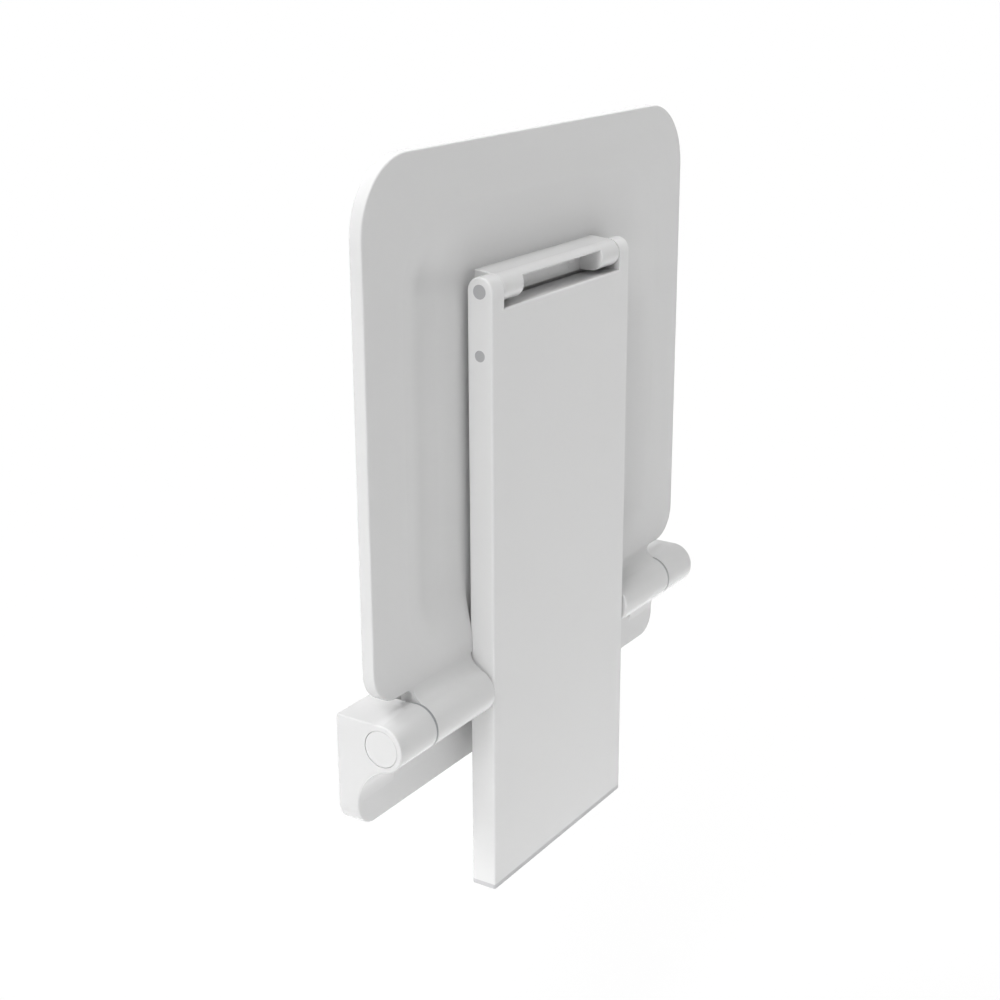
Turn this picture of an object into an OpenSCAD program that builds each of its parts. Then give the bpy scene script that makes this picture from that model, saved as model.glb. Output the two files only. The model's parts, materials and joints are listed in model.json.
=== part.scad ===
// Folding shower seat for a wall, with a flat front leg, drawn folded up.
// X runs along the wall, the wall face is Y = 0, the seat stands out towards -Y, and Z is up.
// The origin is the centre of the four wall screws, on the wall face.
// Profiles are drawn as (out, up): the distance from the wall face, and the height.

/* [Overall] */
// Width of the seat, and of the bracket behind it
overall_w = 424; // [410:1:460]

/* [Seat panel] */
// Depth of the seat, from its rear edge to its front edge
seat_l = 362; // [345:1:400]
// Thickness of the seat at its edges
seat_edge_t = 10; // [9.5:0.1:11]
// Radius of the rounds along the edges of the seat
seat_round = 1.2; // [0.6:0.1:2]
// Distance from the wall to the sitting face of the folded seat, at its edges
seat_face_out = 22.5; // [22.2:0.1:23]
// Height of the rear edge of the seat above the hinge axis
seat_rise = 26.5; // [25:0.5:27.5]
// Radius of the two front corners
front_corner_r = 50; // [30:1:60]
// Radius of the two rear corners
rear_corner_r = 25; // [15:1:30]
// Depth of the hollow in the underside, where the leg folds in
hollow_depth = 5.8; // [5.4:0.1:6.2]
// Width of the slope around the hollow
hollow_slope = 50; // [44:1:54]
// Width of the flat border left and right of the hollow
hollow_side_border = 36; // [30:1:42]
// Width of the flat border in front of the hollow
hollow_front_border = 36; // [32:1:38]
// Width of the flat border behind the hollow
hollow_rear_border = 5.5; // [4:0.5:10]
// Radius of the corners of the hollow floor
hollow_floor_r = 8; // [4:1:14]
// Rise of the crown on the sitting face
crown_rise = 4.5; // [3.5:0.1:6]
// Width of the slope of the crown
crown_slope = 110; // [95:1:120]
// Width of the flat rim around the crown
crown_border = 12; // [8:1:20]

/* [Hinge] */
// Distance from the wall to the hinge axis
hinge_out = 36.5; // [36:0.1:37.5]
// Diameter of the hinge barrels and knuckles
barrel_d = 34; // [33:0.5:36]
// Radius of the round on the inner end of each barrel
barrel_round = 1.5; // [0.6:0.1:2]
// Length of each knuckle of the bracket
knuckle_len = 41; // [39:0.5:44]
// Gap between a knuckle and the barrel of the seat
barrel_gap = 2.4; // [1.6:0.1:3]
// Gap between a barrel and the side of the leg
barrel_leg_gap = 2; // [1.2:0.1:4]
// Radius of the blend between the seat panel and its barrels
barrel_blend_r = 12; // [8:0.5:12.5]
// Radius of the blend in each notch beside the barrels
notch_blend_r = 7; // [4:0.5:8]
// Diameter of the hinge axles
axle_d = 14; // [12:0.5:15]
// Wall of the hinge bushes
bush_wall = 3; // [2:0.25:3.25]
// Share of the hinge bore that each of its two bushes takes
bush_share = 0.335; // [0.25:0.005:0.45]
// How far the flange stays inside the barrel surface
bush_flange_inset = 0.4; // [0.3:0.1:1.5]
// Length of barrel left closed behind the hinge bore
barrel_blind = 10; // [6:0.5:14]
// Gap between the hinge bore end and the inner bush, and the end of the axle
bore_end_gap = 1; // [0.5:0.5:2]
// Diameter of the axle head
axle_head_d = 22; // [20:0.5:23]
// Thickness of the axle head
axle_head_t = 3; // [2:0.25:4]
// Diameter of the end caps
cap_d = 26.5; // [25:0.5:28]
// Thickness of the end caps
cap_t = 6; // [4:0.5:8]
// Bevel around the face of the end caps
cap_bevel = 0.5; // [0.3:0.1:1]
// Diameter of the screws that lock the axles
axle_screw_d = 5; // [4:0.5:6]
// Height that these screws stay inside the knuckle
axle_screw_sink = 1.5; // [1:0.25:3]

/* [Wall bracket] */
// Height of the bracket
bracket_h = 84; // [78:1:90]
// Thickness of the bracket plate
bracket_t = 16; // [15:0.1:16.5]
// Radius of the rounds along the edges of the bracket
bracket_round = 1.2; // [0.6:0.1:1.5]
// Radius of the two lower corners of the bracket
bracket_corner_r = 18; // [14:1:30]
// Radius of the blend under each knuckle
knuckle_blend_r = 32; // [28:1:36]
// Depth of the pocket in the back of the bracket
pocket_depth = 11; // [10:0.5:12]
// Room in the pocket left and right of the wall plate
pocket_side_room = 1; // [0.5:0.5:4]
// Room in the pocket under the wall plate
pocket_foot_room = 7; // [5:0.5:8]
// Width of the wall plate
plate_w = 340; // [320:1:360]
// Thickness of the wall plate
plate_t = 5; // [4:0.5:6]
// Height of the wall plate above the screw centre
plate_up = 27; // [25:0.5:30]
// Depth of the wall plate below the screw centre
plate_down = 25; // [22:0.5:27]
// Size of the hook bevel along the top of the wall plate
hook_bevel = 4; // [3:0.25:4.5]
// Distance between the wall screws along the wall
wall_hole_x = 280; // [240:1:300]
// Distance between the upper and the lower wall screws
wall_hole_z = 30; // [24:1:32]
// Diameter of the wall screw holes
wall_hole_d = 9; // [7:0.5:10]
// Diameter of the screws that lock the bracket on its plate
lock_screw_d = 6; // [5:0.5:6]
// Distance between the lock screws
lock_screw_x = 240; // [180:1:280]
// Distance from the wall to the axis of the lock screws
lock_screw_out = 4.5; // [4:0.1:6]
// Height that the lock screws stay inside the bracket
lock_screw_sink = 1; // [0.5:0.25:3]

/* [Leg] */
// Width of the leg
leg_w = 190; // [184:1:196]
// Thickness of the leg
leg_t = 20; // [19:0.1:21]
// Distance from the pivot pin down to the foot
foot_drop = 450; // [420:1:480]
// Distance from the front edge of the seat back to the pivot pin
pivot_setback = 99.5; // [98:0.5:103]
// Gap between the hollow floor and the back of the folded leg
leg_back_gap = 4; // [3.5:0.1:4.5]
// Gap beside the leg in its channel
channel_gap = 0.3; // [0.3:0.1:1.5]
// Radius of the upright edges of the leg
leg_edge_r = 1.5; // [1:0.1:2.5]
// Width of each ear at the top of the leg
ear_w = 15; // [13:0.5:17]
// Distance from the pivot down to the ledge between the ears
ledge_drop = 12.8; // [12.2:0.1:14]
// Round along the front of the ledge
ledge_round = 1.6; // [0.6:0.1:2]
// Wall of the leg shell
shell_wall = 3; // [2.5:0.1:3.3]
// Gap between the leg core and its shell
core_gap = 0.15; // [0.1:0.05:0.3]
// Depth of the solid head of the core, below the ledge
core_head = 60; // [45:1:90]
// Width of the outer rails of the core
core_rail = 10; // [8:0.5:14]
// Width of the inner rails of the core
core_web = 6; // [4:0.5:10]
// Diameter of the pivot pins
pivot_pin_d = 10; // [8:0.5:10]
// Diameter of the lower pins
lower_pin_d = 8; // [6:0.5:9]
// Distance from the pivot pins down to the lower pins
lower_pin_drop = 44; // [38:1:50]
// Length of the lower pins
lower_pin_len = 24; // [18:1:30]
// Height of the foot pad under the leg
pad_t = 3.5; // [3:0.25:6]
// Height of the spigots that hold the pad in the leg
pad_spigot = 12; // [8:1:20]

/* [Hinge block with finger pull] */
// Gap between an ear of the leg and the block
ear_gap = 0.6; // [0.4:0.1:1]
// Height of the top of the block above the pivot, where it meets the seat
block_top = 11.7; // [10.5:0.1:12]
// Radius of the rounds along the ends of the block and around the finger pull
block_round = 1; // [0.6:0.1:1.1]
// Length of the finger pull
pull_len = 108; // [90:1:112]
// Height of the ceiling of the finger pull above the pivot
pull_ceiling = 5; // [4:0.25:7]
// Radius in the corner of the finger pull
pull_corner_r = 3; // [2:0.5:5]
// Thickness of the web behind the finger pull
pull_web = 4.5; // [4:0.25:5]
// Length of the key behind the block
key_len = 140; // [100:1:150]
// Height of the key
key_h = 12; // [8:0.5:13]
// Depth of the key in the seat
key_depth = 2; // [1.5:0.25:2.25]
// Wall of the pivot bushes
pivot_bush_wall = 1.5; // [1:0.25:1.75]
// Length of the pivot bushes and of the bores that hold them
pivot_bush_len = 20; // [14:1:21]
// Diameter of the screws that hold the block
block_screw_d = 5; // [4:0.5:5]
// Diameter of the heads of these screws
block_screw_head_d = 10; // [8:0.5:10]
// Distance between neighbouring block screws
block_screw_pitch = 28; // [24:1:30]
// How far the key and the block screws lie below the leg's axis
block_screw_drop = 3; // [1:0.25:3.5]
// Outer diameter of the threaded inserts
insert_d = 7; // [6.5:0.25:8]
// Length of the threaded inserts
insert_len = 4.6; // [4:0.1:4.8]

/* [Hidden] */
$fn = 96;
// Radial clearance of the pins and axles in their bushes
run_fit = 0.05;
// Clearance of parts that sit fast in each other
seat_fit = 0.02;
// Radial clearance of the end caps
cap_fit = 0.2;
// Axial clearance between a flange and its knuckle
flange_fit = 0.4;
// How far a cut runs past the face that it opens
overrun = 2;
// How far a dished form dips into its face, so that the two faces cross
dish_dip = 0.12;
// How far a blend dips into the faces that it touches, so that they cross
blend_dip = 0.03;
// How far a round dips out of the faces that it joins, so that they cross
round_dip = 0.01;
// How far the key and the spigots stay from the walls beside them
loose_fit = 0.2;
// Height of the rear lip of the seat above the hinge axis, between the barrels
rear_lip_up = 2;
// Number of screws that hold the block
block_screws_n = 4;
// Number of windows in the leg core
core_windows_n = 3;

half_w = overall_w / 2;
barrel_r = barrel_d / 2;
axle_r = axle_d / 2;
bush_r = axle_r + bush_wall;
hinge_z = bracket_h / 2 - barrel_r;
knuckle_in = half_w - knuckle_len;
barrel_end = knuckle_in - barrel_gap;
barrel_start = leg_w / 2 + barrel_leg_gap;
bore_end = barrel_start + barrel_blind;
bush_len = (barrel_end - bore_end - bore_end_gap) * bush_share;
seat_under_out = seat_face_out + seat_edge_t;
floor_out = seat_under_out - hollow_depth;
rear_z = hinge_z + seat_rise;
front_z = rear_z + seat_l;
pivot_z = front_z - pivot_setback;
leg_r = leg_t / 2;
leg_back_out = floor_out + leg_back_gap;
pivot_out = leg_back_out + leg_r;
leg_front_out = leg_back_out + leg_t;
foot_z = pivot_z - foot_drop;
ledge_z = pivot_z - ledge_drop;
ear_in = leg_w / 2 - ear_w;
block_half = ear_in - ear_gap;
hollow_w = overall_w - 2 * hollow_side_border;
hollow_l = seat_l - hollow_front_border - hollow_rear_border;
hollow_z = rear_z + hollow_rear_border + hollow_l / 2;
crown_z = rear_z + seat_l / 2;
knuckle_blend_out = bracket_t + knuckle_blend_r - blend_dip;
knuckle_reach = barrel_r + knuckle_blend_r - blend_dip;
knuckle_turn = acos((knuckle_blend_out - hinge_out) / knuckle_reach);
knuckle_blend_z = hinge_z - knuckle_reach * sin(knuckle_turn);
barrel_blend_out = seat_under_out + barrel_blend_r - blend_dip;
barrel_reach = barrel_r + barrel_blend_r - blend_dip;
barrel_turn = acos((barrel_blend_out - hinge_out) / barrel_reach);
barrel_blend_z = hinge_z + barrel_reach * sin(barrel_turn);
web_front_out = floor_out + pull_web;
block_back = pivot_out - floor_out;
block_reach = sqrt(block_back * block_back + block_top * block_top);
block_turn = atan2(block_top, -block_back) - acos(leg_r / block_reach);
pin_r = pivot_pin_d / 2;
block_screw_z = pivot_z - block_screw_drop;
pin_in = block_half - pivot_bush_len;
insert_out = floor_out - key_depth;

// Bar along X with an (out, up) profile, from x0 to x1
module along_x(x0, x1) {
    translate([x1, 0, 0]) rotate([90, 0, -90]) linear_extrude(height = x1 - x0) children();
}

// Sheet parallel to the wall with an (x, up) outline, from out0 to out1
module along_out(out0, out1) {
    translate([0, -out0, 0]) rotate([90, 0, 0]) linear_extrude(height = out1 - out0) children();
}

// Round bar along X
module bar_x(r, x0, x1, out, up) {
    translate([x0, -out, up]) rotate([0, 90, 0]) cylinder(r = r, h = x1 - x0);
}

// Tube along X
module tube_x(r_out, r_in, x0, x1, out, up) {
    difference() {
        bar_x(r_out, x0, x1, out, up);
        bar_x(r_in, x0 - overrun, x1 + overrun, out, up);
    }
}

// Round bar that stands out from the wall
module bar_out(r, out0, out1, x, up) {
    translate([x, -out0, up]) rotate([90, 0, 0]) cylinder(r = r, h = out1 - out0);
}

// The right-hand piece for side 1, and its mirror image for side -1
module on_side(side) {
    mirror([side < 0 ? 1 : 0, 0, 0]) children();
}

// Outline of width w from up = 0 to up = h, with its own radius for the upper and the lower corners
module rounded_panel(w, h, r_up, r_down) {
    translate([-w / 2, r_down]) square([w, h - r_up - r_down]);
    translate([-w / 2 + r_down, 0]) square([w - 2 * r_down, r_down]);
    translate([-w / 2 + r_up, h - r_up]) square([w - 2 * r_up, r_up]);
    for (side = [-1, 1]) {
        translate([side * (w / 2 - r_down), r_down]) circle(r = r_down);
        translate([side * (w / 2 - r_up), h - r_up]) circle(r = r_up);
    }
}

// Sweeps an (r, x) section about an axis along X, from an angle that is 0 towards the wall and 90 upwards
module about_x(out, up, start, sweep) {
    translate([0, -out, up]) rotate([0, 90, 0]) rotate([0, 0, 90 + start]) rotate_extrude(angle = sweep)
        children();
}

// Draws the same section straight along the tangent at an angle, by one length before it and one after it
module beside_arc(out, up, angle, before, after) {
    translate([0, -out, up]) rotate([0, 90, 0]) rotate([0, 0, 90 + angle]) translate([0, after, 0])
        rotate([90, 0, 0]) linear_extrude(height = before + after) children();
}

// Section that a round takes off an edge at the origin, where the solid lies towards -X and -Y
module round_off(r) {
    difference() {
        translate([-r, -r]) square(r + overrun);
        translate([-r, -r]) circle(r = r + round_dip);
    }
}

// Section of a rim of width w and thickness t, with rounds on its two outer edges
module rim_profile(w, t, r) {
    square([w - r, t]);
    translate([0, r]) square([w, t - 2 * r]);
    for (v = [r, t - r]) {
        translate([w - r, v]) circle(r = r);
    }
}

// Panel with the outline of rounded_panel, from Z = 0 to Z = t, with a round along all its edges
module soft_panel(w, h, r_up, r_down, t, r) {
    linear_extrude(height = t) {
        translate([r - w / 2, r_down]) square([w - 2 * r, h - r_up - r_down]);
        translate([r_down - w / 2, r]) square([w - 2 * r_down, r_down - r]);
        translate([r_up - w / 2, h - r_up]) square([w - 2 * r_up, r_up - r]);
    }
    for (side = [-1, 1]) {
        mirror([side < 0 ? 1 : 0, 0, 0]) {
            translate([w / 2 - r - overrun, h - r_up, 0]) rotate([90, 0, 0])
                linear_extrude(height = h - r_up - r_down) rim_profile(r + overrun, t, r);
            translate([w / 2 - r_down, r_down, 0]) rotate([0, 0, -90])
                rotate_extrude(angle = 90) rim_profile(r_down, t, r);
            translate([w / 2 - r_up, h - r_up, 0]) rotate_extrude(angle = 90) rim_profile(r_up, t, r);
        }
    }
    translate([w / 2 - r_down, r + overrun, 0]) rotate([90, 0, -90])
        linear_extrude(height = w - 2 * r_down) rim_profile(r + overrun, t, r);
    translate([r_up - w / 2, h - r - overrun, 0]) rotate([90, 0, 90])
        linear_extrude(height = w - 2 * r_up) rim_profile(r + overrun, t, r);
}

// Half of a dish slope: two equal arcs that leave the floor and reach the rim without a corner
module slope_profile(slope, depth) {
    arc_r = (slope * slope + depth * depth) / (4 * depth);
    translate([-overrun, 0]) square([overrun, depth]);
    intersection() {
        square([slope / 2, depth]);
        translate([0, depth - arc_r]) circle(r = arc_r);
    }
    difference() {
        translate([slope / 2, 0]) square([slope / 2, depth / 2]);
        translate([slope, arc_r]) circle(r = arc_r);
    }
}

// Shallow dished form with a flat floor and a smooth slope all round, rising from Z = 0
module dish(w, l, slope, depth, floor_r) {
    floor_w = w - 2 * slope;
    floor_l = l - 2 * slope;
    translate([0, -floor_l / 2, 0]) linear_extrude(height = depth)
        rounded_panel(floor_w, floor_l, floor_r, floor_r);
    for (turn = [0, 1]) {
        reach = turn == 0 ? floor_w / 2 : floor_l / 2;
        run = turn == 0 ? floor_l - 2 * floor_r : floor_w - 2 * floor_r;
        for (side = [0, 180]) {
            rotate([0, 0, side + turn * 90]) translate([reach, run / 2, 0]) rotate([90, 0, 0])
                linear_extrude(height = run) slope_profile(slope, depth);
        }
    }
    for (side = [-1, 1]) {
        for (end = [-1, 1]) {
            translate([side * (floor_w / 2 - floor_r), end * (floor_l / 2 - floor_r), 0])
                rotate([0, 0, side > 0 ? (end > 0 ? 0 : -90) : (end > 0 ? 90 : 180)])
                rotate_extrude(angle = 90) translate([floor_r, 0]) slope_profile(slope, depth);
        }
    }
}

// Profile of a bracket knuckle: barrel, flat top back to the wall and a wide blend below
module knuckle_profile() {
    translate([hinge_out, hinge_z]) circle(r = barrel_r);
    difference() {
        polygon([[0, hinge_z + barrel_r], [hinge_out, hinge_z + barrel_r], [hinge_out, hinge_z],
            [knuckle_blend_out, knuckle_blend_z], [0, knuckle_blend_z]]);
        translate([knuckle_blend_out, knuckle_blend_z]) circle(r = knuckle_blend_r);
    }
}

// Profile of a seat barrel with the tongue that blends it into the panel
module barrel_profile() {
    translate([hinge_out, hinge_z]) circle(r = barrel_r);
    difference() {
        polygon([[seat_face_out, hinge_z], [seat_face_out, barrel_blend_z],
            [barrel_blend_out, barrel_blend_z], [hinge_out, hinge_z]]);
        translate([barrel_blend_out, barrel_blend_z]) circle(r = barrel_blend_r);
    }
}

// Profile of the hinge block: a round front about the pivot, and a top that rises from it to the seat
module block_profile() {
    translate([pivot_out, pivot_z]) {
        circle(r = leg_r);
        polygon([[0, 0], (leg_r - blend_dip) * [cos(block_turn), sin(block_turn)],
            [-block_back, block_top], [-block_back, blend_dip - leg_r], [0, blend_dip - leg_r]]);
    }
}

// Profile of the finger pull: open to the front and below, with a round inner corner
module pull_profile() {
    low_z = pivot_z - leg_r - overrun;
    ceiling_z = pivot_z + pull_ceiling;
    depth = leg_front_out + overrun - web_front_out;
    translate([web_front_out, low_z]) square([depth, ceiling_z - pull_corner_r - low_z]);
    translate([web_front_out + pull_corner_r, low_z]) square([depth - pull_corner_r, ceiling_z - low_z]);
    translate([web_front_out + pull_corner_r, ceiling_z - pull_corner_r]) circle(r = pull_corner_r);
    translate([pivot_out, pivot_z]) lip_profile();
}

// Cut that rounds the lip between the ceiling of the finger pull and the round front, about the pivot
module lip_profile() {
    lip_up = pull_ceiling + block_round;
    lip_reach = leg_r - block_round;
    lip = [sqrt(lip_reach * lip_reach - lip_up * lip_up), lip_up];
    difference() {
        polygon([lip, [lip[0], pull_ceiling - overrun], [leg_r + overrun, pull_ceiling - overrun],
            lip * (leg_r + overrun) / lip_reach]);
        translate(lip) circle(r = block_round + round_dip);
    }
}

// Profile of the wall plate, with the hook bevel at its upper back edge
module plate_profile() {
    polygon([[0, -plate_down], [plate_t, -plate_down], [plate_t, plate_up], [hook_bevel, plate_up],
        [0, plate_up - hook_bevel]]);
}

// Profile of the pocket behind the bracket, which hooks over the wall plate
module pocket_profile() {
    low_z = -plate_down - pocket_foot_room;
    polygon([[-overrun, low_z], [pocket_depth, low_z], [pocket_depth, plate_up], [hook_bevel, plate_up],
        [-overrun, plate_up - hook_bevel - overrun]]);
}

// Horizontal section of the leg, with round upright edges
module leg_section() {
    translate([0, -leg_front_out]) rounded_panel(leg_w, leg_t, leg_edge_r, leg_edge_r);
}

module wall_bracket() {
    pocket_half = plate_w / 2 + pocket_side_room;
    color("white") difference() {
        intersection() {
            union() {
                along_x(-half_w, half_w) translate([0, -bracket_h / 2]) square([bracket_t, bracket_h]);
                for (side = [-1, 1]) {
                    on_side(side) along_x(knuckle_in, half_w) knuckle_profile();
                }
            }
            along_out(0, hinge_out + barrel_r + overrun) bracket_outline();
        }
        along_x(-pocket_half, pocket_half) pocket_profile();
        along_x(-knuckle_in, knuckle_in) translate([bracket_t, bracket_h / 2]) round_off(bracket_round);
        along_x(bracket_corner_r - half_w, half_w - bracket_corner_r)
            translate([bracket_t, -bracket_h / 2]) mirror([0, 1]) round_off(bracket_round);
        for (side = [-1, 1]) {
            on_side(side) bracket_rounds();
            on_side(side) knuckle_bores();
            translate([side * lock_screw_x / 2, -lock_screw_out, -bracket_h / 2 - overrun])
                cylinder(r = lock_screw_d / 2 + seat_fit, h = bracket_h / 2 - plate_down);
        }
    }
}

// Front view of the bracket, with its two round lower corners
module bracket_outline() {
    translate([-half_w, bracket_corner_r - bracket_h / 2]) square([overall_w, bracket_h - bracket_corner_r]);
    translate([bracket_corner_r - half_w, -bracket_h / 2])
        square([overall_w - 2 * bracket_corner_r, bracket_corner_r]);
    for (side = [-1, 1]) {
        translate([side * (half_w - bracket_corner_r), bracket_corner_r - bracket_h / 2])
            circle(r = bracket_corner_r);
    }
}

// Rounds of the right end: over the knuckle, down the blend below it and round the lower corner
module bracket_rounds() {
    corner_z = bracket_corner_r - bracket_h / 2;
    corner_turn = asin(min(1, max(0, (corner_z - knuckle_blend_z) / bracket_corner_r)));
    beside_arc(hinge_out, hinge_z, 90, hinge_out + overrun, 0)
        translate([barrel_r, half_w]) round_off(bracket_round);
    about_x(hinge_out, hinge_z, 90, 90 + knuckle_turn)
        translate([barrel_r, half_w]) round_off(bracket_round);
    about_x(knuckle_blend_out, knuckle_blend_z, 0, knuckle_turn)
        translate([knuckle_blend_r, half_w]) mirror([1, 0]) round_off(bracket_round);
    translate([half_w - bracket_corner_r, 0, corner_z]) rotate([90, 0, 0]) rotate([0, 0, -90])
        rotate_extrude(angle = 90 - corner_turn)
        translate([bracket_corner_r, bracket_t]) round_off(bracket_round);
    if (corner_z < knuckle_blend_z) {
        translate([half_w, -bracket_t, corner_z]) linear_extrude(height = knuckle_blend_z - corner_z)
            mirror([0, 1]) round_off(bracket_round);
    }
}

// Stepped bore of the right knuckle for the axle, its head and the end cap, and the lock screw hole
module knuckle_bores() {
    head_x = half_w - cap_t - axle_head_t;
    bar_x(axle_r + seat_fit, knuckle_in - overrun, half_w, hinge_out, hinge_z);
    bar_x(axle_head_d / 2 + cap_fit, head_x, half_w, hinge_out, hinge_z);
    bar_x(cap_d / 2 + cap_fit, half_w - cap_t, half_w + overrun, hinge_out, hinge_z);
    translate([knuckle_in + knuckle_len / 2, -hinge_out, hinge_z - barrel_r - overrun])
        cylinder(r = axle_screw_d / 2 + seat_fit, h = barrel_r + overrun);
}

module wall_plate() {
    color("silver") difference() {
        along_x(-plate_w / 2, plate_w / 2) plate_profile();
        for (x = [-wall_hole_x / 2, wall_hole_x / 2]) {
            for (up = [-wall_hole_z / 2, wall_hole_z / 2]) {
                bar_out(wall_hole_d / 2, -overrun, plate_t + overrun, x, up);
            }
        }
    }
}

module lock_screws() {
    low_z = lock_screw_sink - bracket_h / 2;
    color("silver") for (side = [-1, 1]) {
        translate([side * lock_screw_x / 2, -lock_screw_out, low_z])
            socket_screw(lock_screw_d / 2, -plate_down - low_z);
    }
}

module axle_screws() {
    low_z = hinge_z - barrel_r + axle_screw_sink;
    color("silver") for (side = [-1, 1]) {
        translate([side * (knuckle_in + knuckle_len / 2), -hinge_out, low_z])
            socket_screw(axle_screw_d / 2, hinge_z - axle_r - run_fit - low_z);
    }
}

// Headless screw of radius r and length h, with a hexagon socket in its lower end
module socket_screw(r, h) {
    socket_share = 0.55;
    difference() {
        cylinder(r = r, h = h);
        translate([0, 0, -overrun]) cylinder(r = r * socket_share, h = overrun + r, $fn = 6);
    }
}

module end_cap(side) {
    color("white") on_side(side) translate([half_w - cap_t, -hinge_out, hinge_z]) rotate([0, 90, 0]) {
        cylinder(r = cap_d / 2, h = cap_t - cap_bevel);
        translate([0, 0, cap_t - cap_bevel])
            cylinder(r1 = cap_d / 2, r2 = cap_d / 2 - cap_bevel, h = cap_bevel);
    }
}

module end_cap_left() {
    end_cap(-1);
}

module end_cap_right() {
    end_cap(1);
}

module hinge_axle(side) {
    head_x = half_w - cap_t - axle_head_t;
    color("silver") on_side(side) {
        bar_x(axle_r, bore_end + bore_end_gap, head_x, hinge_out, hinge_z);
        bar_x(axle_head_d / 2, head_x, head_x + axle_head_t, hinge_out, hinge_z);
    }
}

module hinge_axle_left() {
    hinge_axle(-1);
}

module hinge_axle_right() {
    hinge_axle(1);
}

module seat_panel() {
    color("white") difference() {
        union() {
            translate([0, -seat_face_out, rear_z]) rotate([90, 0, 0])
                soft_panel(overall_w, seat_l, front_corner_r, rear_corner_r, seat_edge_t, seat_round);
            on_sitting_face() dish(overall_w - 2 * crown_border, seat_l - 2 * crown_border,
                crown_slope, crown_rise + dish_dip, hollow_floor_r);
            along_x(-barrel_end, barrel_end) rear_lip_profile();
            for (side = [-1, 1]) {
                on_side(side) along_x(barrel_start, barrel_end) barrel_profile();
                on_side(side) notch_blend();
            }
        }
        in_underside() dish(hollow_w, hollow_l, hollow_slope, hollow_depth + dish_dip, hollow_floor_r);
        leg_channel();
        for (side = [-1, 1]) {
            on_side(side) bar_x(bush_r, bore_end, barrel_end + overrun, hinge_out, hinge_z);
            on_side(side) about_x(hinge_out, hinge_z, 180 - barrel_turn, 180 + barrel_turn)
                translate([barrel_r, barrel_start]) mirror([0, 1]) round_off(barrel_round);
        }
        along_out(insert_out, floor_out + overrun) translate([0, block_screw_z]) key_outline(loose_fit);
        for (x = block_screw_places()) {
            bar_out(insert_d / 2 + seat_fit, insert_out - insert_len, floor_out, x, block_screw_z);
        }
    }
}

// The crown grows out of the sitting face towards the wall
module on_sitting_face() {
    translate([0, -seat_face_out - dish_dip, crown_z]) rotate([-90, 0, 0]) children();
}

// The hollow goes into the underside towards the wall
module in_underside() {
    translate([0, -seat_under_out - dish_dip, hollow_z]) rotate([-90, 0, 0]) children();
}

// Thin rear edge of the seat, behind the leg and between the barrels
module rear_lip_profile() {
    translate([seat_face_out, hinge_z + rear_lip_up])
        square([floor_out - seat_face_out, seat_rise - rear_lip_up + rear_corner_r]);
}

// Channel that takes the back of the folded leg, from the hollow out through the rear edge
module leg_channel() {
    channel_half = leg_w / 2 + channel_gap;
    top_z = hollow_z - hollow_l / 2 + hollow_slope + hollow_floor_r;
    low_z = hinge_z - barrel_r - overrun;
    along_out(floor_out, hinge_out + barrel_r + overrun) translate([-channel_half, low_z])
        square([2 * channel_half, top_z - low_z]);
}

// Round inner corner between the rear edge of the seat and the side of its right tongue
module notch_blend() {
    translate([barrel_end + notch_blend_r, -seat_face_out, rear_z - notch_blend_r]) rotate([90, 0, 0])
        rotate([0, 0, 90]) rotate_extrude(angle = 90) translate([notch_blend_r * sqrt(2) + seat_round, 0])
        mirror([1, 0]) rim_profile(notch_blend_r * (sqrt(2) - 1) + seat_round, seat_edge_t, seat_round);
}

// Outline of the key, grown by a gap for its recess
module key_outline(gap) {
    square([key_len + 2 * gap, key_h + 2 * gap], center = true);
}

// Places of the block screws along the block
function block_screw_places() = [for (i = [0 : block_screws_n - 1])
    (i - (block_screws_n - 1) / 2) * block_screw_pitch];

module outer_bush(side) {
    flange_r = barrel_r - bush_flange_inset;
    flange_end = knuckle_in - flange_fit;
    color("gainsboro") on_side(side) difference() {
        union() {
            bar_x(bush_r - seat_fit, barrel_end - bush_len, barrel_end, hinge_out, hinge_z);
            bar_x(flange_r, barrel_end, flange_end, hinge_out, hinge_z);
        }
        bar_x(axle_r + run_fit, barrel_end - bush_len - overrun, knuckle_in, hinge_out, hinge_z);
    }
}

module outer_bush_left() {
    outer_bush(-1);
}

module outer_bush_right() {
    outer_bush(1);
}

module inner_bush(side) {
    start = bore_end + bore_end_gap;
    color("gainsboro") on_side(side)
        tube_x(bush_r - seat_fit, axle_r + run_fit, start, start + bush_len, hinge_out, hinge_z);
}

module inner_bush_left() {
    inner_bush(-1);
}

module inner_bush_right() {
    inner_bush(1);
}

module hinge_block() {
    color("white") difference() {
        union() {
            along_x(-block_half, block_half) block_profile();
            along_out(insert_out, floor_out) translate([0, block_screw_z]) key_outline(0);
        }
        along_x(-pull_len / 2, pull_len / 2) pull_profile();
        for (side = [-1, 1]) {
            on_side(side) block_end_rounds();
            on_side(side) pull_end_rounds();
            on_side(side) bar_x(pin_r + pivot_bush_wall, pin_in, block_half + overrun, pivot_out, pivot_z);
        }
        for (x = block_screw_places()) {
            bar_out(block_screw_d / 2 + loose_fit, insert_out - overrun, web_front_out + overrun, x,
                block_screw_z);
            screw_head(x, seat_fit);
        }
    }
}

// Rounds of the right end of the block: down its top, round its front and back along its underside
module block_end_rounds() {
    top_l = sqrt(block_reach * block_reach - leg_r * leg_r);
    beside_arc(pivot_out, pivot_z, 180 - block_turn, top_l + overrun, 0)
        translate([leg_r, block_half]) round_off(block_round);
    about_x(pivot_out, pivot_z, 180 - block_turn, 90 + block_turn)
        translate([leg_r, block_half]) round_off(block_round);
    beside_arc(pivot_out, pivot_z, -90, 0, block_back + overrun)
        translate([leg_r - blend_dip, block_half]) round_off(block_round);
}

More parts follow.
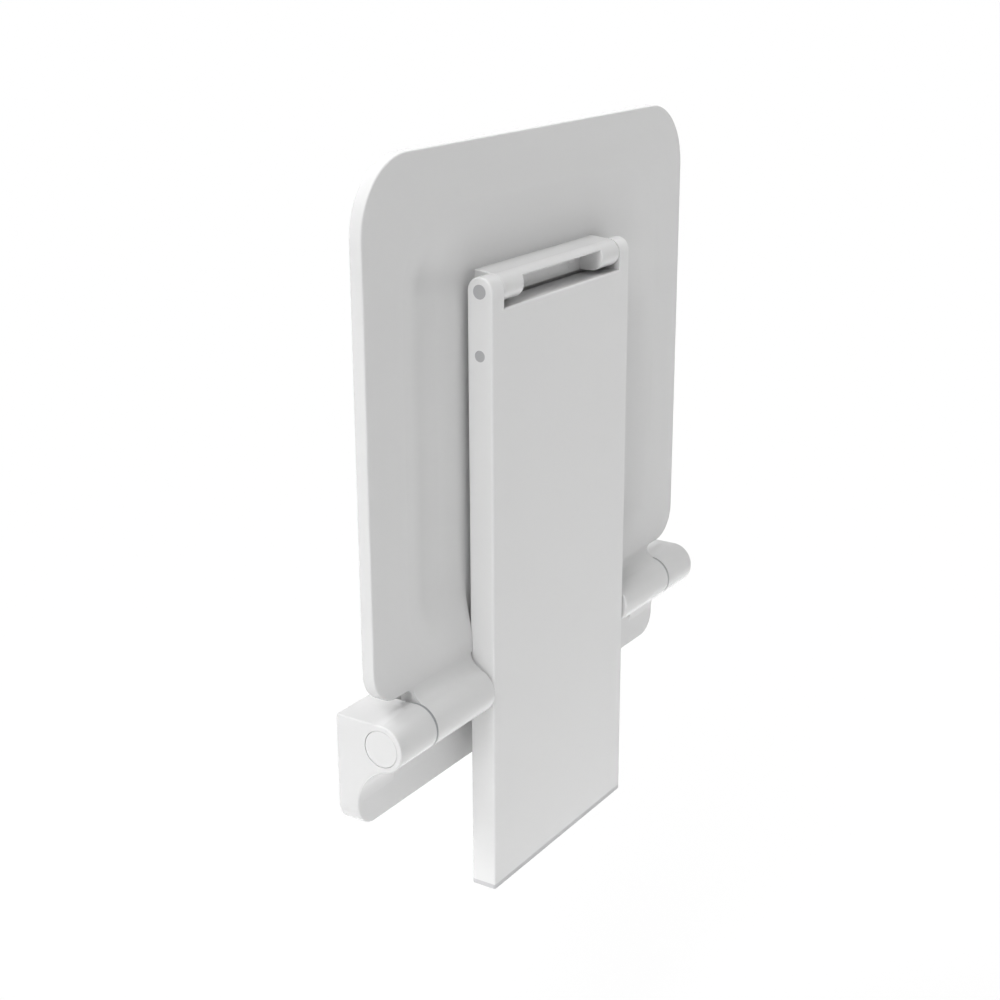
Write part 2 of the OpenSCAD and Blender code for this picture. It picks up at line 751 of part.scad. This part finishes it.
// Rounds of the right end of the finger pull: round the front from its lip, and back along the underside
module pull_end_rounds() {
    lip_turn = asin(pull_ceiling / leg_r);
    about_x(pivot_out, pivot_z, 180 - lip_turn, 90 + lip_turn)
        translate([leg_r, pull_len / 2]) mirror([0, 1]) round_off(block_round);
    beside_arc(pivot_out, pivot_z, -90, block_round, pivot_out - web_front_out)
        translate([leg_r - blend_dip, pull_len / 2]) mirror([0, 1]) round_off(block_round);
}

// Countersunk head of a block screw, grown by a gap for its seat in the web
module screw_head(x, gap) {
    head_h = (block_screw_head_d - block_screw_d) / 2;
    translate([x, -web_front_out + head_h, block_screw_z]) rotate([90, 0, 0])
        cylinder(r1 = block_screw_d / 2 + gap, r2 = block_screw_head_d / 2 + gap, h = head_h);
}

module block_screws() {
    color("white") for (x = block_screw_places()) {
        bar_out(block_screw_d / 2 - run_fit, insert_out - insert_len + loose_fit, web_front_out - run_fit,
            x, block_screw_z);
        screw_head(x, -run_fit);
    }
}

module block_inserts() {
    color("goldenrod") for (x = block_screw_places()) {
        difference() {
            bar_out(insert_d / 2, insert_out - insert_len, insert_out, x, block_screw_z);
            bar_out(block_screw_d / 2, insert_out - insert_len - overrun, insert_out + overrun, x,
                block_screw_z);
        }
    }
}

module pivot_bush(side) {
    color("gainsboro") on_side(side)
        tube_x(pin_r + pivot_bush_wall - seat_fit, pin_r + run_fit, pin_in, block_half, pivot_out, pivot_z);
}

module pivot_bush_left() {
    pivot_bush(-1);
}

module pivot_bush_right() {
    pivot_bush(1);
}

// Rounded top of the right ear, as a half disc about the pivot with a round outer edge
module ear_top(x0, x1, r, edge_r) {
    translate([0, -pivot_out, pivot_z]) rotate([0, 90, 0]) rotate([0, 0, 90]) rotate_extrude(angle = 180) {
        translate([0, x0]) square([r - edge_r, x1 - x0]);
        translate([0, x0]) square([r, x1 - x0 - edge_r]);
        if (edge_r > 0) {
            translate([r - edge_r, x1 - edge_r]) intersection() {
                circle(r = edge_r);
                square([edge_r, edge_r]);
            }
        }
    }
}

module leg_shell() {
    cavity_half = leg_w / 2 - shell_wall;
    low_z = foot_z + pad_t;
    color("white") difference() {
        union() {
            translate([0, 0, low_z]) linear_extrude(height = pivot_z - low_z) leg_section();
            for (side = [-1, 1]) {
                on_side(side) ear_top(ear_in, leg_w / 2, leg_r, leg_edge_r);
            }
        }
        along_x(-ear_in, ear_in) ledge_cut_profile();
        along_x(-cavity_half, cavity_half) translate([leg_back_out + shell_wall, low_z - overrun])
            square([leg_t - 2 * shell_wall, ledge_z - shell_wall - low_z + overrun]);
        for (side = [-1, 1]) {
            on_side(side) ear_cavity();
            on_side(side) pin_holes(seat_fit);
        }
    }
}

// Space between the ears above the ledge, with the round along its front
module ledge_cut_profile() {
    translate([leg_back_out - overrun, ledge_z])
        square([leg_t + 2 * overrun, ledge_drop + leg_r + overrun]);
    translate([leg_front_out, ledge_z]) round_off(ledge_round);
}

// Hollow of the right ear, which the core fills
module ear_cavity() {
    r = leg_r - shell_wall;
    ear_low = ledge_z - shell_wall - overrun;
    along_x(ear_in + shell_wall, leg_w / 2 - shell_wall) {
        translate([pivot_out, pivot_z]) circle(r = r);
        translate([pivot_out - r, ear_low]) square([2 * r, pivot_z - ear_low]);
    }
}

// Pin holes through the right side of the leg
module pin_holes(gap) {
    bar_x(pin_r + gap, pin_in, leg_w / 2 + overrun, pivot_out, pivot_z);
    bar_x(lower_pin_d / 2 + gap, leg_w / 2 - lower_pin_len - seat_fit, leg_w / 2 + overrun, pivot_out,
        pivot_z - lower_pin_drop);
}

module leg_core() {
    half = leg_w / 2 - shell_wall - core_gap;
    low_z = foot_z + pad_t;
    top_z = ledge_z - shell_wall - core_gap;
    r = leg_r - shell_wall - core_gap;
    color("lightgray") difference() {
        union() {
            along_x(-half, half) translate([pivot_out - r, low_z]) square([2 * r, top_z - low_z]);
            for (side = [-1, 1]) {
                on_side(side) along_x(ear_in + shell_wall + core_gap, half) {
                    translate([pivot_out, pivot_z]) circle(r = r);
                    translate([pivot_out - r, top_z - overrun]) square([2 * r, pivot_z - top_z + overrun]);
                }
            }
        }
        for (x = window_places()) {
            along_out(leg_back_out, leg_front_out) translate([x - window_w() / 2, low_z - overrun])
                square([window_w(), ledge_z - core_head - low_z + overrun]);
        }
        for (side = [-1, 1]) {
            on_side(side) pin_holes(seat_fit);
        }
    }
}

// Width of each window in the core, between its rails
function window_w() = (leg_w - 2 * (shell_wall + core_gap + core_rail) - (core_windows_n - 1) * core_web)
    / core_windows_n;

// Centre of each window in the core
function window_places() = [for (i = [0 : core_windows_n - 1])
    (i - (core_windows_n - 1) / 2) * (window_w() + core_web)];

module pivot_pin(side) {
    color("darkgray") on_side(side) bar_x(pin_r, pin_in + loose_fit, leg_w / 2, pivot_out, pivot_z);
}

module pivot_pin_left() {
    pivot_pin(-1);
}

module pivot_pin_right() {
    pivot_pin(1);
}

module lower_pin(side) {
    color("darkgray") on_side(side)
        bar_x(lower_pin_d / 2, leg_w / 2 - lower_pin_len, leg_w / 2, pivot_out, pivot_z - lower_pin_drop);
}

module lower_pin_left() {
    lower_pin(-1);
}

module lower_pin_right() {
    lower_pin(1);
}

module foot_pad() {
    spigot_t = leg_t - 2 * (shell_wall + core_gap + loose_fit);
    spigot_w = window_w() - 2 * loose_fit;
    color("lightgray") {
        translate([0, 0, foot_z]) linear_extrude(height = pad_t) leg_section();
        for (x = window_places()) {
            translate([x - spigot_w / 2, -pivot_out - spigot_t / 2, foot_z + pad_t - seat_fit])
                cube([spigot_w, spigot_t, pad_spigot + seat_fit]);
        }
    }
}

wall_bracket();
wall_plate();
lock_screws();
axle_screws();
end_cap_left();
end_cap_right();
hinge_axle_left();
hinge_axle_right();
seat_panel();
outer_bush_left();
outer_bush_right();
inner_bush_left();
inner_bush_right();
hinge_block();
block_screws();
block_inserts();
pivot_bush_left();
pivot_bush_right();
leg_shell();
leg_core();
pivot_pin_left();
pivot_pin_right();
lower_pin_left();
lower_pin_right();
foot_pad();
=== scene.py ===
"""Finish, light and camera of the folding shower seat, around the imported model.

Lengths are in metres and angles in degrees. An azimuth is counted from +X towards +Y.
"""
import json
import math

import bpy
from mathutils import Matrix, Vector


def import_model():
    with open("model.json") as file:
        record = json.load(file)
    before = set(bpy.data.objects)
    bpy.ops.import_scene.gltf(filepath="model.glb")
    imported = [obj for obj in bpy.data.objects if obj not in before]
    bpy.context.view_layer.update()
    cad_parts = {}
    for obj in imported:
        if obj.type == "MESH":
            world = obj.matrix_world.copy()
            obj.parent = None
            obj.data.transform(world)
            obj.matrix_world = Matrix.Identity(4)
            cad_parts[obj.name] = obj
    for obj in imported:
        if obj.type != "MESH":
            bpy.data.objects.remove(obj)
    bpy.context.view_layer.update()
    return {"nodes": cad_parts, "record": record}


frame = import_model()

# Camera, solved from the edges of the seat in the photograph: its place, and where it stands
# as seen from what it looks at
CAMERA_AT = (-1.04792, -0.66932, 0.54869)
CAMERA_AZIMUTH = -147.252
CAMERA_ELEVATION = 18.443
CAMERA_ROLL = -0.231
SENSOR_MM = 36.0
LENS_MM = 62.53
CLIP_NEAR = 0.05
CLIP_FAR = 100.0

# Floor, at the height of the foot when the seat is folded down. The camera and reflections see
# it as plain white by the share FLOOR_WHITENESS, and the rest of it shows the shadow
FLOOR_Z = -0.43
FLOOR_HALF = 60.0
FLOOR_COLOUR = (0.94, 0.94, 0.94, 1.0)
FLOOR_WHITENESS = 0.9

# Light of the world: an even part, and broad glows as azimuth, elevation, tightness, strength
EVEN_LIGHT = 0.2
GLOWS = (
    (125, 55, 40, 10.5),
    (-60, 70, 35, 0.4),
    (-172, 45, 45, 12.5),
    (40, 18, 40, 2.7),
)
WHITE_SKY = 1.0

# Two round soft lamps: place, width, watts, and whether it shines up
LAMPS = {
    "high_lamp": ((0.0, -0.1, 1.1), 0.16, 2.0, False),
    "low_lamp": ((0.0, -0.1, -0.42), 1.1, 2.3, True),
}

SEAT_WHITE = (0.68, 0.68, 0.68, 1.0)
LEG_WHITE = (0.74, 0.74, 0.74, 1.0)
PIN_GREY = (0.40, 0.40, 0.41, 1.0)
BUSH_GREY = (0.30, 0.31, 0.32, 1.0)
CORE_GREY = (0.40, 0.41, 0.42, 1.0)
PAD_GREY = (0.53, 0.53, 0.54, 1.0)
STEEL = (0.55, 0.55, 0.56, 1.0)
BRASS = (0.72, 0.55, 0.28, 1.0)

# Coated and moulded surfaces, by the record's slots: colour, roughness, width of the grain, and
# how far it stands out
MOULDED = {
    "white_body": (SEAT_WHITE, 0.12, 0.0008, 0.000002),
    "white_coated_aluminium": (LEG_WHITE, 0.2, 0.0009, 0.000003),
    "white_coated_steel": (SEAT_WHITE, 0.25, 0.0008, 0.000002),
    "pin_steel": (PIN_GREY, 0.3, 0.0005, 0.000002),
    "bush_plastic": (BUSH_GREY, 0.4, 0.0006, 0.000003),
    "core_plastic": (CORE_GREY, 0.5, 0.0008, 0.000004),
    "pad_rubber": (PAD_GREY, 0.6, 0.0007, 0.000006),
}
# Bare metals: colour and roughness
METALS = {
    "stainless": (STEEL, 0.3),
    "brass": (BRASS, 0.3),
}

# Noises: how many waves to the metre, and how much finer detail
TONE_NOISE = (9.0, 2.0)
GLOSS_NOISE = (60.0, 3.0)
METAL_NOISE = (900.0, 3.0)
GRAIN_DETAIL = 2.0
# The range in which nearly all of a noise lies
NOISE_LOW = 0.3
NOISE_HIGH = 0.7

# Shares by which the tone, the gloss and a metal's gloss change over a surface
TONE_CHANGE = 0.012
GLOSS_CHANGE = 0.1
METAL_CHANGE = 0.2
BUMP_STRENGTH = 1.0
COAT_IOR = 1.5


def direction(azimuth, elevation):
    """The unit vector that points to an azimuth and elevation."""
    a, e = math.radians(azimuth), math.radians(elevation)
    return Vector((math.cos(e) * math.cos(a), math.cos(e) * math.sin(a), math.sin(e)))


def add_object(name, data):
    """An object in the scene that shows the data."""
    made = bpy.data.objects.new(name, data)
    bpy.context.scene.collection.objects.link(made)
    return made


def new_material(name):
    """A material with nothing but its shader and output."""
    material = bpy.data.materials.new(name)
    material.use_nodes = True
    tree = material.node_tree
    tree.nodes.clear()
    shader = tree.nodes.new("ShaderNodeBsdfPrincipled")
    output = tree.nodes.new("ShaderNodeOutputMaterial")
    tree.links.new(shader.outputs["BSDF"], output.inputs["Surface"])
    return material, tree, shader


def noise(tree, scale, detail, coords):
    """A noise texture on the object's own coordinates."""
    node = tree.nodes.new("ShaderNodeTexNoise")
    node.inputs["Scale"].default_value = scale
    node.inputs["Detail"].default_value = detail
    tree.links.new(coords.outputs["Object"], node.inputs["Vector"])
    return node.outputs["Fac"]


def vary_roughness(tree, shader, source, rough, change):
    """Lets a noise move the roughness up and down by a share of itself."""
    node = tree.nodes.new("ShaderNodeMapRange")
    node.inputs["From Min"].default_value = NOISE_LOW
    node.inputs["From Max"].default_value = NOISE_HIGH
    node.inputs["To Min"].default_value = rough * (1 - change)
    node.inputs["To Max"].default_value = rough * (1 + change)
    tree.links.new(source, node.inputs["Value"])
    tree.links.new(node.outputs["Result"], shader.inputs["Roughness"])


def calculate(tree, operation, *values):
    """A Math node. Its inputs are sockets or plain numbers."""
    node = tree.nodes.new("ShaderNodeMath")
    node.operation = operation
    for slot, value in zip(node.inputs, values):
        if isinstance(value, (int, float)):
            slot.default_value = value
        else:
            tree.links.new(value, slot)
    return node.outputs["Value"]


def seen_as_background(tree):
    """1 where the camera looks, directly or by way of a reflection or a clear piece."""
    path = tree.nodes.new("ShaderNodeLightPath")
    seen = calculate(tree, "MAXIMUM", path.outputs["Is Camera Ray"],
                     path.outputs["Is Glossy Ray"])
    return calculate(tree, "MAXIMUM", seen, path.outputs["Is Transmission Ray"])


def moulded(name, colour, rough, grain, height):
    """A coated or moulded surface: a very fine grain, and small changes of tone and gloss."""
    material, tree, shader = new_material(name)
    coords = tree.nodes.new("ShaderNodeTexCoord")
    mix = tree.nodes.new("ShaderNodeMix")
    mix.data_type = "RGBA"
    mix.inputs["A"].default_value = colour
    mix.inputs["B"].default_value = tuple(c * (1 - TONE_CHANGE) for c in colour[:3]) + (1.0,)
    tree.links.new(noise(tree, *TONE_NOISE, coords), mix.inputs["Factor"])
    tree.links.new(mix.outputs["Result"], shader.inputs["Base Color"])
    vary_roughness(tree, shader, noise(tree, *GLOSS_NOISE, coords), rough, GLOSS_CHANGE)
    bump = tree.nodes.new("ShaderNodeBump")
    bump.inputs["Strength"].default_value = BUMP_STRENGTH
    bump.inputs["Distance"].default_value = height
    tree.links.new(noise(tree, 1.0 / grain, GRAIN_DETAIL, coords), bump.inputs["Height"])
    tree.links.new(bump.outputs["Normal"], shader.inputs["Normal"])
    shader.inputs["IOR"].default_value = COAT_IOR
    return material


def metal(name, colour, rough):
    """Bare metal with a finely uneven gloss."""
    material, tree, shader = new_material(name)
    coords = tree.nodes.new("ShaderNodeTexCoord")
    vary_roughness(tree, shader, noise(tree, *METAL_NOISE, coords), rough, METAL_CHANGE)
    shader.inputs["Base Color"].default_value = colour
    shader.inputs["Metallic"].default_value = 1.0
    return material


def dress():
    """Gives each node of the model its material, by the record's slots."""
    made = {name: moulded(name, *look) for name, look in MOULDED.items()}
    made.update({name: metal(name, *look) for name, look in METALS.items()})
    for part in frame["record"]["subparts"]:
        materials = frame["nodes"][part["node"]].data.materials
        materials.clear()
        materials.append(made[part["material_slot"]])


def camera():
    """The camera at the photograph's place."""
    back = direction(CAMERA_AZIMUTH, CAMERA_ELEVATION)
    roll = math.radians(CAMERA_ROLL)
    right = Vector((0, 0, 1)).cross(back).normalized()
    up = back.cross(right)
    turned_right = right * math.cos(roll) + up * math.sin(roll)
    turned_up = up * math.cos(roll) - right * math.sin(roll)
    data = bpy.data.cameras.new("camera")
    data.sensor_width = SENSOR_MM
    data.lens = LENS_MM
    data.clip_start = CLIP_NEAR
    data.clip_end = CLIP_FAR
    made = add_object("camera", data)
    axes = Matrix((turned_right, turned_up, back)).transposed()
    made.matrix_world = Matrix.Translation(CAMERA_AT) @ axes.to_4x4()
    bpy.context.scene.camera = made


def stage():
    """The plain pale floor."""
    mesh = bpy.data.meshes.new("floor")
    corners = ((-1, -1), (1, -1), (1, 1), (-1, 1))
    mesh.from_pydata([(x * FLOOR_HALF, y * FLOOR_HALF, FLOOR_Z) for x, y in corners],
                     [], [(0, 1, 2, 3)])
    floor = add_object("floor", mesh)
    material, tree, shader = new_material("floor")
    shader.inputs["Base Color"].default_value = FLOOR_COLOUR
    shader.inputs["Roughness"].default_value = 1.0
    shader.inputs["Specular IOR Level"].default_value = 0.0
    output = shader.outputs["BSDF"].links[0].to_node
    white = tree.nodes.new("ShaderNodeEmission")
    share = calculate(tree, "MULTIPLY", seen_as_background(tree), FLOOR_WHITENESS)
    mix = tree.nodes.new("ShaderNodeMixShader")
    tree.links.new(share, mix.inputs["Fac"])
    tree.links.new(shader.outputs["BSDF"], mix.inputs[1])
    tree.links.new(white.outputs["Emission"], mix.inputs[2])
    tree.links.new(mix.outputs["Shader"], output.inputs["Surface"])
    mesh.materials.append(material)


def world():
    """The even light and the glows. Seen as a background, the world is plain white."""
    made = bpy.data.worlds.new("studio")
    made.use_nodes = True
    tree = made.node_tree
    coords = tree.nodes.new("ShaderNodeTexCoord")
    total = EVEN_LIGHT
    for azimuth, elevation, tightness, strength in GLOWS:
        towards = tree.nodes.new("ShaderNodeVectorMath")
        towards.operation = "DOT_PRODUCT"
        towards.inputs[1].default_value = direction(azimuth, elevation)
        tree.links.new(coords.outputs["Generated"], towards.inputs[0])
        fall = calculate(tree, "MULTIPLY_ADD", towards.outputs["Value"], tightness, -tightness)
        glow = calculate(tree, "EXPONENT", fall)
        total = calculate(tree, "MULTIPLY_ADD", glow, strength, total)
    mix = tree.nodes.new("ShaderNodeMix")
    tree.links.new(seen_as_background(tree), mix.inputs["Factor"])
    tree.links.new(total, mix.inputs["A"])
    mix.inputs["B"].default_value = WHITE_SKY
    background = tree.nodes["Background"]
    background.inputs["Color"].default_value = (1, 1, 1, 1)
    tree.links.new(mix.outputs["Result"], background.inputs["Strength"])
    bpy.context.scene.world = made


def lamps():
    """The high lamp lifts the faces that look up, and the low one the lower parts, as a bright
    floor does."""
    for name, (place, across, watts, shines_up) in LAMPS.items():
        data = bpy.data.lights.new(name, "AREA")
        data.shape = "DISK"
        data.size = across
        data.energy = watts
        lamp = add_object(name, data)
        lamp.location = place
        lamp.rotation_euler = (math.pi if shines_up else 0, 0, 0)
        lamp.visible_camera = False
        lamp.visible_glossy = False


dress()
stage()
camera()
world()
lamps()
bpy.context.scene.view_settings.view_transform = "Standard"
